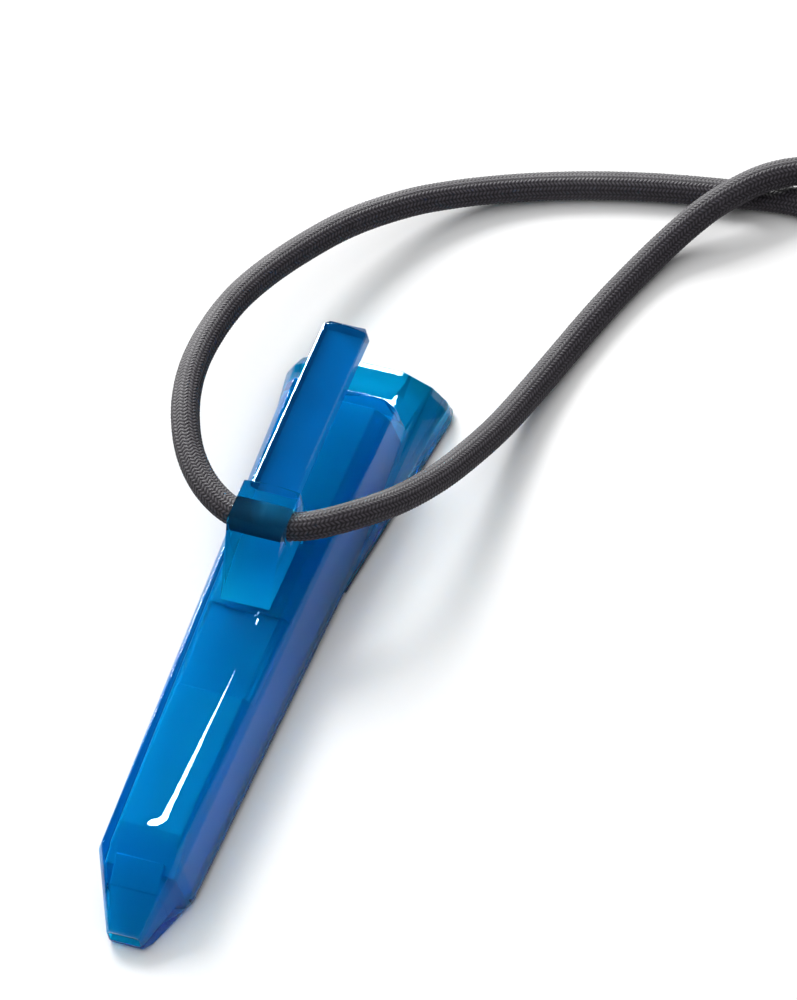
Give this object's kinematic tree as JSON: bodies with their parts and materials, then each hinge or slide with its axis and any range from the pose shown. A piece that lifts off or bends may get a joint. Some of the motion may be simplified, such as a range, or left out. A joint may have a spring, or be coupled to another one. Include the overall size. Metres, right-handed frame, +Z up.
{
  "type": "duck call",
  "caption": "Translucent faceted duck call with a flared bell, a bevelled mouthpiece, a clip bar along its top and an elastic neck cord through the clip's eye.",
  "frame": {"origin": "middle of the base's footprint, on the surface the call rests on, measured without the cord", "axes": "+Z up out of the flat top and the clip, +Y along the call from the mouthpiece to the bell, +X to the right when looking from the mouthpiece to the bell"},
  "size_m": [0.1698, 0.1878, 0.0264],
  "materials": {
    "blue_shell": "clear tinted, polished",
    "blue_clip": "clear tinted, polished",
    "blue_insert": "clear tinted, satin inside",
    "reed_film": "clear polyester film",
    "wedge_rubber": "matt",
    "seal_silicone": "translucent satin",
    "cord": "braided polyester sleeve, matt"
  },
  "bodies": {
    "call_body": {"upper_shell": "blue_shell", "base_plate": "blue_shell", "mouthpiece": "blue_shell", "clip_root": "blue_clip", "cord_left": "cord", "cord_right": "cord", "cord_tail": "cord", "cord_coil": "cord", "cord_knot": "cord"},
    "clip": {"clip_arm": "blue_clip"},
    "insert": {"insert_stopper": "blue_insert", "tone_board": "blue_insert", "reed_wedge": "wedge_rubber", "seal_front": "seal_silicone", "seal_rear": "seal_silicone"},
    "long_reed": {"reed_long": "reed_film"},
    "short_reed": {"reed_short": "reed_film"}
  },
  "joints": [
    {"name": "insert_slide", "type": "slide", "parent": "call_body", "child": "insert", "axis": [0, 1, 0], "range_m": [0, 0.04]},
    {"name": "clip_flex", "type": "hinge", "parent": "call_body", "child": "clip", "pos_m": [0, 0.02165, 0.024], "axis": [1, 0, 0], "range_deg": [-2, 4], "stiffness_Nm_per_rad": 0.6},
    {"name": "long_reed_flex", "type": "hinge", "parent": "insert", "child": "long_reed", "pos_m": [0, 0.0135, 0.0039], "axis": [-1, 0, 0], "range_deg": [0, 2.5], "stiffness_Nm_per_rad": 0.004},
    {"name": "short_reed_flex", "type": "hinge", "parent": "insert", "child": "short_reed", "pos_m": [0, 0.0135, 0.0039], "axis": [-1, 0, 0], "range_deg": [0, 2.5], "stiffness_Nm_per_rad": 0.003}
  ],
  "couplings": [
    {"joint": "short_reed_flex", "follows": "long_reed_flex", "ratio": 1}
  ]
}
